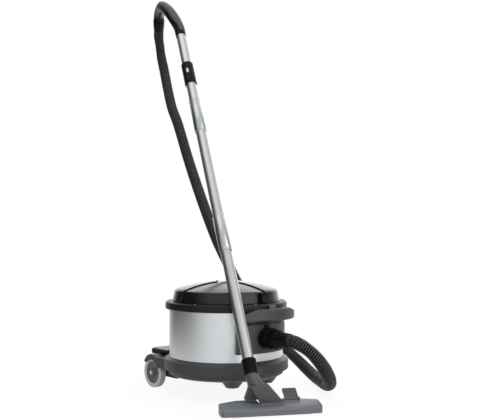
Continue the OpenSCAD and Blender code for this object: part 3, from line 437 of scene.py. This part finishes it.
def even_line(line, count):
    """Points at equal distances along a line, and its length."""
    runs = [0.0]
    for a, b in zip(line, line[1:]):
        runs.append(runs[-1] + (b - a).length)
    out, k = [], 0
    for i in range(count + 1):
        s = runs[-1] * i / count
        while k < len(line) - 2 and runs[k + 1] < s:
            k += 1
        t = (s - runs[k]) / (runs[k + 1] - runs[k])
        out.append(line[k].lerp(line[k + 1], t))
    return out, runs[-1]


def carried_sides(line, start):
    """Heading and side direction at each point of a line, carried along with no twist."""
    out = []
    side = Vector(start)
    for i, p in enumerate(line):
        way = (line[min(i + 1, len(line) - 1)] - line[max(i - 1, 0)]).normalized()
        side = (side - side.dot(way) * way).normalized()
        out.append((way, side, way.cross(side)))
    return out


def round_point(centre, radius, turn, side, other):
    """A point at an angle round a centre, in the plane of two directions."""
    return centre + radius * (math.cos(turn) * side + math.sin(turn) * other)


def full_turn(sides):
    return [2 * math.pi * k / sides for k in range(sides)]


def bridge(mesh, pairs):
    """Sets faces between each pair of rings of vertices."""
    for a, b in pairs:
        for k in range(len(a)):
            m = (k + 1) % len(a)
            mesh.faces.new((a[k], a[m], b[m], b[k]))


def finished_mesh(work, name, sharp=None):
    """A mesh from a working one, smooth, with its edges over an angle kept sharp."""
    bmesh.ops.recalc_face_normals(work, faces=work.faces)
    made = bpy.data.meshes.new(name)
    work.to_mesh(made)
    work.free()
    made.shade_smooth()
    if sharp is not None:
        made.set_sharp_from_angle(angle=math.radians(sharp))
    return made


def skin(rings):
    """A mesh over rings of points, in metres, closed at both ends."""
    work = bmesh.new()
    rows = [[work.verts.new(p) for p in ring] for ring in rings]
    bridge(work, zip(rows, rows[1:]))
    work.faces.new(list(reversed(rows[0])))
    work.faces.new(rows[-1])
    return finished_mesh(work, "skin")


def in_place(matrix, points):
    return [(matrix @ Vector(p)) * MM for p in points]


def turned_mesh(profile, matrix, sides=96, closed=True):
    """A profile of (radius, height) in millimetres turned about the matrix's z axis."""
    work = bmesh.new()
    rows = [[work.verts.new(p) for p in in_place(matrix,
        [(r * math.cos(a), r * math.sin(a), z) for a in full_turn(sides)])] for r, z in profile]
    bridge(work, list(zip(rows, rows[1:])) + ([(rows[-1], rows[0])] if closed else []))
    bmesh.ops.remove_doubles(work, verts=work.verts, dist=1e-7)
    return finished_mesh(work, "turned", 40)


# ---- Repeats, made by geometry nodes ----

def repeat_tree(name, round_a_circle):
    """A tree that sets one shape at even steps along a line, or round a circle."""
    tree = bpy.data.node_groups.new(name, "GeometryNodeTree")
    face = tree.interface
    face.new_socket("Shape", in_out="INPUT", socket_type="NodeSocketObject")
    face.new_socket("Count", in_out="INPUT", socket_type="NodeSocketInt")
    face.new_socket("Reach", in_out="INPUT", socket_type="NodeSocketFloat")
    face.new_socket("Finish", in_out="INPUT", socket_type="NodeSocketMaterial")
    face.new_socket("Geometry", in_out="OUTPUT", socket_type="NodeSocketGeometry")
    given = add(tree, "NodeGroupInput").outputs
    shape = add(tree, "GeometryNodeObjectInfo", {"Object": given["Shape"]})
    if round_a_circle:
        spots = add(tree, "GeometryNodeMeshCircle", {"Vertices": given["Count"],
            "Radius": given["Reach"]})
        place = add(tree, "GeometryNodeInputPosition")
        turn = add(tree, "FunctionNodeAlignRotationToVector", {"Vector": place.outputs[0]}, axis="X")
        rotation = turn.outputs["Rotation"]
    else:
        along = add(tree, "ShaderNodeCombineXYZ", {"X": given["Reach"]})
        spots = add(tree, "GeometryNodeMeshLine", {"Count": given["Count"],
            "Offset": along.outputs[0]}, mode="END_POINTS")
        rotation = None
    placed = {"Points": spots.outputs["Mesh"], "Instance": shape.outputs["Geometry"]}
    if rotation is not None:
        placed["Rotation"] = rotation
    copies = add(tree, "GeometryNodeInstanceOnPoints", placed)
    real = add(tree, "GeometryNodeRealizeInstances", {"Geometry": copies.outputs["Instances"]})
    painted = add(tree, "GeometryNodeSetMaterial", {"Geometry": real.outputs["Geometry"],
        "Material": given["Finish"]})
    add(tree, "NodeGroupOutput", {"Geometry": painted.outputs["Geometry"]})
    return tree


def repeated(shape, count, reach_mm, material, matrix, round_a_circle=False):
    """The mesh of one shape repeated, set in place by a matrix. The shape is a mesh in millimetres."""
    name = "repeat round" if round_a_circle else "repeat along"
    tree = bpy.data.node_groups.get(name) or repeat_tree(name, round_a_circle)
    model = bpy.data.objects.new("shape", shape)
    holder = bpy.data.objects.new("holder", bpy.data.meshes.new("empty"))
    for made in (model, holder):
        bpy.context.scene.collection.objects.link(made)
    modifier = holder.modifiers.new("Repeat", "NODES")
    modifier.node_group = tree
    wanted = {"Shape": model, "Count": count, "Reach": float(reach_mm), "Finish": material}
    for item in tree.interface.items_tree:
        if item.in_out == "INPUT":
            modifier[item.identifier] = wanted[item.name]
    bpy.context.view_layer.update()
    graph = bpy.context.evaluated_depsgraph_get()
    mesh = bpy.data.meshes.new_from_object(holder.evaluated_get(graph), depsgraph=graph)
    holder.modifiers.remove(modifier)
    bpy.data.objects.remove(holder)
    bpy.data.objects.remove(model)
    mesh.transform(Matrix.Scale(MM, 4) @ matrix)
    return mesh


def joined(meshes):
    """Several meshes as one."""
    work = bmesh.new()
    for mesh in meshes:
        work.from_mesh(mesh)
    made = bpy.data.meshes.new("joined")
    work.to_mesh(made)
    work.free()
    return made


# ---- Operators ----

def studio_level(tree, towards):
    """How bright the studio is each way.

    A term is a direction, the cosines where it begins and ends, and what it adds at each."""
    total = None
    for way, low, high, first, last in (
            ((-0.54, 0.84, 0), 0.30, 0.90, 0.85, 0.06),
            ((0.97, -0.26, 0), 0.55, 0.95, 0.0, -0.5),
            ((0.09, -0.99, 0.10), 0.72, 1.0, 0.0, 1.0),
            ((0.74, 0.66, 0.10), 0.50, 1.0, 0.0, 1.2)):
        near = add(tree, "ShaderNodeVectorMath", {0: towards, 1: way}, operation="DOT_PRODUCT")
        part = add(tree, "ShaderNodeMapRange", {"Value": near.outputs["Value"], "From Min": low,
            "From Max": high, "To Min": first, "To Max": last}, interpolation_type="SMOOTHSTEP")
        total = part.outputs["Result"] if total is None else add(tree, "ShaderNodeMath",
            {0: total, 1: part.outputs["Result"]}, operation="ADD").outputs[0]
    return total


class VACUUM_OT_stage(bpy.types.Operator):
    """Floor, light and camera"""
    bl_idname = "vacuum.stage"
    bl_label = "Floor, light and camera"

    def execute(self, context):
        scene = context.scene
        scene.view_settings.view_transform = "Standard"
        bpy.ops.mesh.primitive_plane_add(size=FLOOR_SIZE, location=(0, 0, -FLOOR_DROP))
        floor = context.object
        floor.name = "floor"
        paint = bpy.data.materials.new("white studio floor")
        paint.use_nodes = True
        tree = paint.node_tree
        tree.nodes.clear()
        place = add(tree, "ShaderNodeTexCoord").outputs["Object"]
        dust = add(tree, "ShaderNodeTexNoise", {"Vector": place, "Scale": 3.0})
        white = add(tree, "ShaderNodeMix", {"Factor": dust.outputs["Fac"], "A": linear("#f4f4f4"),
            "B": linear("#f7f7f7")}, data_type="RGBA")
        seen = add(tree, "ShaderNodeLightPath").outputs
        # Bounces less light up than it shows, so that undersides stay dark
        bounced = add(tree, "ShaderNodeMix", {"Factor": seen["Is Camera Ray"],
            "A": linear("#a8a8a8"), "B": white.outputs["Result"]}, data_type="RGBA")
        matt = add(tree, "ShaderNodeBsdfDiffuse", {"Color": bounced.outputs["Result"]})
        glow = add(tree, "ShaderNodeEmission", {"Color": linear("#ffffff"), "Strength": FLOOR_GLOW})
        share = add(tree, "ShaderNodeMath", {0: seen["Is Camera Ray"], 1: FLOOR_GLOW_SHARE},
            operation="MULTIPLY")
        mixed = add(tree, "ShaderNodeMixShader", {0: share.outputs[0], 1: matt.outputs[0],
            2: glow.outputs[0]})
        # A reflection of the floor shows the studio's light and dark sides, as the walls do
        back = add(tree, "ShaderNodeNewGeometry").outputs["Incoming"]
        away = add(tree, "ShaderNodeVectorMath", {0: back, 1: (-1, -1, 1)}, operation="MULTIPLY")
        # It is white near the machine, and fades to those sides further out
        reach = add(tree, "ShaderNodeVectorMath", {0: place}, operation="LENGTH")
        far = add(tree, "ShaderNodeMapRange", {"Value": reach.outputs["Value"],
            "From Min": FLOOR_FADES_FROM, "From Max": FLOOR_FADES_TO}, interpolation_type="SMOOTHSTEP")
        level = add(tree, "ShaderNodeMix", {"Factor": far.outputs["Result"], "A": FLOOR_MIRRORED,
            "B": studio_level(tree, away.outputs["Vector"])})
        wall = add(tree, "ShaderNodeEmission", {"Color": linear("#ffffff"),
            "Strength": level.outputs["Result"]})
        ended = add(tree, "ShaderNodeMixShader", {0: seen["Is Glossy Ray"], 1: mixed.outputs[0],
            2: wall.outputs[0]})
        add(tree, "ShaderNodeOutputMaterial", {"Surface": ended.outputs[0]})
        floor.data.materials.append(paint)

        world = bpy.data.worlds.new("soft studio")
        scene.world = world
        world.use_nodes = True
        tree = world.node_tree
        tree.nodes.clear()
        towards = add(tree, "ShaderNodeTexCoord").outputs["Generated"]
        studio = add(tree, "ShaderNodeBackground", {"Color": linear("#ffffff"),
            "Strength": studio_level(tree, towards)})
        plain = add(tree, "ShaderNodeBackground", {"Color": linear("#ffffff"), "Strength": 1.0})
        ray = add(tree, "ShaderNodeLightPath").outputs["Is Camera Ray"]
        mixed = add(tree, "ShaderNodeMixShader", {0: ray, 1: studio.outputs[0],
            2: plain.outputs[0]})
        add(tree, "ShaderNodeOutputWorld", {"Surface": mixed.outputs[0]})

        for name, spot, aim, size, power in (
                ("key softbox", (0.4, -2.7, 2.3), (0, 0, 0.4), 1.6, 8),
                ("top softbox", (-0.5, 0.1, 2.9), (0, 0, 0.3), 1.8, 6)):
            light = bpy.data.lights.new(name, "AREA")
            light.size = size
            light.energy = power
            made = bpy.data.objects.new(name, light)
            made.location = spot
            made.rotation_euler = (Vector(aim) - Vector(spot)).to_track_quat("-Z", "Y").to_euler()
            scene.collection.objects.link(made)

        camera = bpy.data.cameras.new("camera")
        camera.lens = CAMERA_LENS
        camera.sensor_width = CAMERA_SENSOR
        camera.sensor_fit = "HORIZONTAL"
        camera.shift_y = CAMERA_SHIFT
        camera.clip_end = 50
        made = bpy.data.objects.new("camera", camera)
        made.location = (MACHINE @ Vector(CAMERA_AT)) * MM
        made.rotation_euler = (math.radians(90), 0, math.radians(CAMERA_HEADING))
        scene.collection.objects.link(made)
        scene.camera = made
        return {"FINISHED"}


class VACUUM_OT_hose(bpy.types.Operator):
    """Ribbed hose from the inlet round the machine and up to the handle"""
    bl_idname = "vacuum.hose"
    bl_label = "Hose"

    def execute(self, context):
        sizes = context.scene.vacuum_sizes
        # The ribs begin at the connector's end
        line = smooth_line([CONNECTOR_END] + HOSE_ROUTE[1:], STEPS_PER_SPAN)
        _, length = even_line(line, 10)
        per_turn, sides = 6, 24
        turns = int(length * MM / sizes.rib_pitch)
        spine, _ = even_line(line, turns * per_turn)
        low, high = sizes.rib_in / MM, sizes.rib_out / MM
        rings, crest = [], []
        for i, (p, (_, side, other)) in enumerate(zip(spine, carried_sides(spine, (1, 0, 0)))):
            ring = []
            for k, turn in enumerate(full_turn(sides)):
                # The rib winds round the hose, so its crest moves on with the angle
                wave = math.cos(2 * math.pi * (i / per_turn - k / sides))
                # The crest's height is stored to place the painted highlight along each rib
                crest.append(((1 + wave) / 2) ** 2)
                r = low + (high - low) * (1 + wave) / 2
                ring.append(round_point(p, r, turn, side, other))
            rings.append(in_place(MACHINE, ring))
        mesh = skin(rings)
        mesh.attributes.new("crest", "FLOAT", "POINT").data.foreach_set("value", crest)
        hose = piece_of("ribbed_hose", mesh, finish("hose"), None, "suction_hose")
        path = in_place(MACHINE, even_line(line, 240)[0])
        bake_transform(hose)
        return {"FINISHED"}


class VACUUM_OT_wand(bpy.types.Operator):
    """Bent handle, tubes, sleeves, bleed slide and collar"""
    bl_idname = "vacuum.wand"
    bl_label = "Wand"

    def execute(self, context):
        line = smooth_line(HANDLE_ROUTE, STEPS_PER_SPAN)
        count = 84
        spine, _ = even_line(line, count)
        frames = carried_sides(spine, spine[0] - Vector(HANDLE_END))
        sides = 32
        rings = []
        for i, (p, (_, side, other)) in enumerate(zip(spine, frames)):
            r = 17.6 + 1.4 * min(1, 3 * i / count)
            rings.append([round_point(p, r, a, side, other) for a in full_turn(sides)])
        # The pipe's mouth is turned in to its bore at both ends
        bores = []
        for i in range(count, -1, -4):
            p, (_, side, other) = spine[i], frames[i]
            bores.append([round_point(p, HANDLE_BORE, a, side, other) for a in full_turn(sides)])
        outer = [in_place(MACHINE, r) for r in rings + bores]
        work = bmesh.new()
        rows = [[work.verts.new(p) for p in ring] for ring in outer]
        bridge(work, zip(rows, rows[1:] + rows[:1]))
        mesh = finished_mesh(work, "bend", 40)
        way = CUFF_WAY.normalized()
        facing = way.to_track_quat("Z", "Y").to_matrix().to_4x4()
        spigot_at = MACHINE @ moved(*HANDLE_END) @ facing
        spigot = turned_mesh([(12, -1), (15, -1), (15, 27), (14.3, 28), (12, 28)], spigot_at, 48)
        piece_of("visible_bend", joined([mesh, spigot]), finish("black"), "wand", "handle_bend")

        # The grey shell lies over the outer side and tapers to a point at its lower end
        first, last, half, shell_half_angle = 3, 63, 14, 62
        shell_under, shell_edge, shell_thick = 19.05, 19.15, 1.35
        shell = []
        for i in range(first, last + 1):
            p, (_, side, other) = spine[i], frames[i]
            t = (i - first) / (last - first)
            widening = min(1, 0.30 + 2.2 * t)
            narrowing = 1 - 0.55 * max(0, (t - 0.8) / 0.2) ** 2
            spread = math.radians(shell_half_angle * widening * narrowing)
            lift = min(1, 8 * min(t, 1 - t) + 0.15)
            arc = [spread * (2 * k / half - 1) for k in range(half + 1)]
            edge = [1 - 0.75 * (abs(2 * k / half - 1) ** 6) for k in range(half + 1)]
            ring = [round_point(p, shell_edge + shell_thick * lift * e, a, side, other)
                for a, e in zip(arc, edge)]
            ring += [round_point(p, shell_under, a, side, other) for a in reversed(arc)]
            shell.append(in_place(MACHINE, ring))
        mesh = skin(shell)
        mesh.set_sharp_from_angle(angle=math.radians(50))
        piece_of("visible_handle_shell", mesh, finish("shell"), "wand", "handle_top_shell")

        for node in ("handle_tube", "upper_tube", "lower_tube"):
            dress(node, finish("aluminium"))
        parts = []
        for low, high in ((338, 462), (781, 911)):
            end = ((16, 0), (16.4, 0), (17.9, 0.6), (18.3, 1.5), (18.3, 3), (17.9, 3.6),
                (17.9, 5.4), (18.3, 6))
            profile = [(r, low + z) for r, z in end] + [(r, high - z) for r, z in reversed(end)]
            parts.append(turned_mesh(profile, WAND, 72))
        piece_of("visible_sleeves", joined(parts), finish("sleeve"), "wand", "tube_sleeves")
        softened("regulator_sleeve", finish("black"), 0.8, 2)
        softened("neck_collar", finish("black"), 0.35, 2, 50)
        return {"FINISHED"}


class VACUUM_OT_head(bpy.types.Operator):
    """Elbow, yoke, floor head, brushes, pedal and rollers"""
    bl_idname = "vacuum.head"
    bl_label = "Floor head"

    def execute(self, context):
        sizes = context.scene.vacuum_sizes
        softened("neck_elbow", finish("joint"), 0.6, 2)
        softened("neck_yoke", finish("joint"), 1.0, 3, 40)
        dress("yoke_pin", finish("pin"))
        dress("pedal_pin", finish("pin"))
        softened("head_shell", finish("head"), 1.3, 3)
        dress("head_sole", finish("sole"))
        dress("brush_carrier", finish("filled"))
        softened("pedal", finish("pedal"), 0.9, 2)
        for node in ("head_roller_left", "head_roller_right"):
            softened(node, finish("filled"), 0.6, 2)
        high = sizes.tuft_height / MM
        tuft = turned_mesh([(0.01, 0), (1.35, 0), (1.5, high * 0.5), (1.3, high), (0.01, high)],
            Matrix.Scale(1 / MM, 4), 8, closed=False)
        rows = [repeated(tuft.copy(), sizes.tufts, 205, finish("hair"),
            HEAD @ moved(-102.5, y, 0.3)) for y in (-29, 11)]
        piece_of("brush_tufts", joined(rows), finish("hair"), "brushes", "brush_strips")
        return {"FINISHED"}


class VACUUM_OT_tub(bpy.types.Operator):
    """Steel tub, front panel, carry handle, inlet and hose connector"""
    bl_idname = "vacuum.tub"
    bl_label = "Tub and front"

    def execute(self, context):
        dress("tub", finish("steel"))
        softened("front_panel", finish("panel"), 1.0, 2)
        softened("carry_handle", finish("panel"), 2.0, 3)
        softened("inlet_socket", finish("black"), 0.8, 2)
        softened("hose_connector", finish("black"), 0.7, 2)
        dress("hose_cuff_top", finish("black"))
        return {"FINISHED"}


class VACUUM_OT_base(bpy.types.Operator):
    """Base with its ring and fenders, shelf, tray, wheels and castors"""
    bl_idname = "vacuum.base"
    bl_label = "Base and wheels"

    def execute(self, context):
        softened("chassis", finish("base"), 1.0, 2)
        softened("rear_shelf", finish("black"), 1.2, 2)
        softened("shelf_tray", finish("tray"), 0.6, 2)
        dress("rear_axle", finish("pin"))
        for side in ("left", "right"):
            softened("hub_" + side, finish("hub"), 0.7, 2)
            dress("tyre_" + side, finish("tyre"))
        softened("castor_fork", finish("filled"), 0.6, 2)
        dress("castor_wheel", finish("tread"))
        return {"FINISHED"}


class VACUUM_OT_lid(bpy.types.Operator):
    """Lid, wings, seal, switch, gland, catches and screws"""
    bl_idname = "vacuum.lid"
    bl_label = "Lid"

    def execute(self, context):
        softened("lid_rim", finish("rim"), 0.8, 2)
        softened("lid_dome", finish("lid"), 1.0, 3)
        softened("lid_wings", finish("lid"), 1.2, 3)
        dress("lid_seal", finish("seal"))
        softened("power_switch", finish("gloss"), 0.6, 2)
        softened("switch_frame", finish("black"), 0.6, 2)
        softened("cord_gland", finish("black"), 0.6, 2)
        dress("catch_keepers", finish("zinc"))
        for node in ("catch_front", "catch_rear"):
            softened(node, finish("hub"), 0.6, 2)
        head = turned_mesh([(0.01, 0), (3.2, 0), (3.2, 0.5), (2.6, 1.2), (1.2, 1.2), (0.9, 0.5),
            (0.01, 0.5)], Matrix.Scale(1 / MM, 4), 12, closed=False)
        foot = turned_mesh([(0.01, 1.5), (4, 1.5), (4, 0.6), (3.2, 0), (1.4, 0), (1.1, 0.7),
            (0.01, 0.7)], Matrix.Scale(1 / MM, 4), 12, closed=False)
        top = repeated(head, 6, 168, finish("zinc"),
            MACHINE @ turned(20, "Z") @ moved(0, 0, 268), True)
        under = [repeated(foot.copy(), 1, 0, finish("zinc"),
            MACHINE @ turned(a, "Z") @ moved(140, 0, 52.5)) for a in (30, 150, 210, 330)]
        piece_of("screw_heads", joined([top] + under), finish("zinc"), "root", "screws")
        return {"FINISHED"}


class VACUUM_OT_inside(bpy.types.Operator):
    """Motor, fan, filters and dust bag"""
    bl_idname = "vacuum.inside"
    bl_label = "Inside"

    def execute(self, context):
        for node, name in (("motor_plate", "filled"), ("fan_case", "motor"), ("motor_body", "motor"),
                ("motor_bearings", "pin"), ("brush_holders", "brass"), ("motor_shaft", "copper"),
                ("fan", "fan"), ("exhaust_filter", "felt"), ("main_filter", "felt"),
                ("bag_collar", "paper"), ("dust_bag", "paper")):
            dress(node, finish(name))
        return {"FINISHED"}


STEPS = (VACUUM_OT_stage, VACUUM_OT_hose, VACUUM_OT_wand, VACUUM_OT_head, VACUUM_OT_tub,
    VACUUM_OT_base, VACUUM_OT_lid, VACUUM_OT_inside)


class VACUUM_PT_panel(bpy.types.Panel):
    """Builds the vacuum cleaner piece by piece"""
    bl_idname = "VACUUM_PT_panel"
    bl_label = "Tub vacuum cleaner"
    bl_space_type = "VIEW_3D"
    bl_region_type = "UI"
    bl_category = "Vacuum"

    def draw(self, context):
        for group in (context.scene.vacuum_sizes, context.scene.vacuum_colours):
            for name in group.bl_rna.properties.keys():
                if name not in ("rna_type", "name"):
                    self.layout.prop(group, name)
        for step in STEPS:
            self.layout.operator(step.bl_idname)


CLASSES = (VacuumColours, VacuumSizes) + STEPS + (VACUUM_PT_panel,)


def register():
    for made in CLASSES:
        bpy.utils.register_class(made)
    bpy.types.Scene.vacuum_sizes = PointerProperty(type=VacuumSizes)
    bpy.types.Scene.vacuum_colours = PointerProperty(type=VacuumColours)


def unregister():
    del bpy.types.Scene.vacuum_colours
    del bpy.types.Scene.vacuum_sizes
    for made in reversed(CLASSES):
        bpy.utils.unregister_class(made)


def main():
    register()
    make_finishes(bpy.context.scene.vacuum_colours)
    for step in STEPS:
        getattr(bpy.ops.vacuum, step.bl_idname.split(".")[1])()


if __name__ == "__main__":
    main()
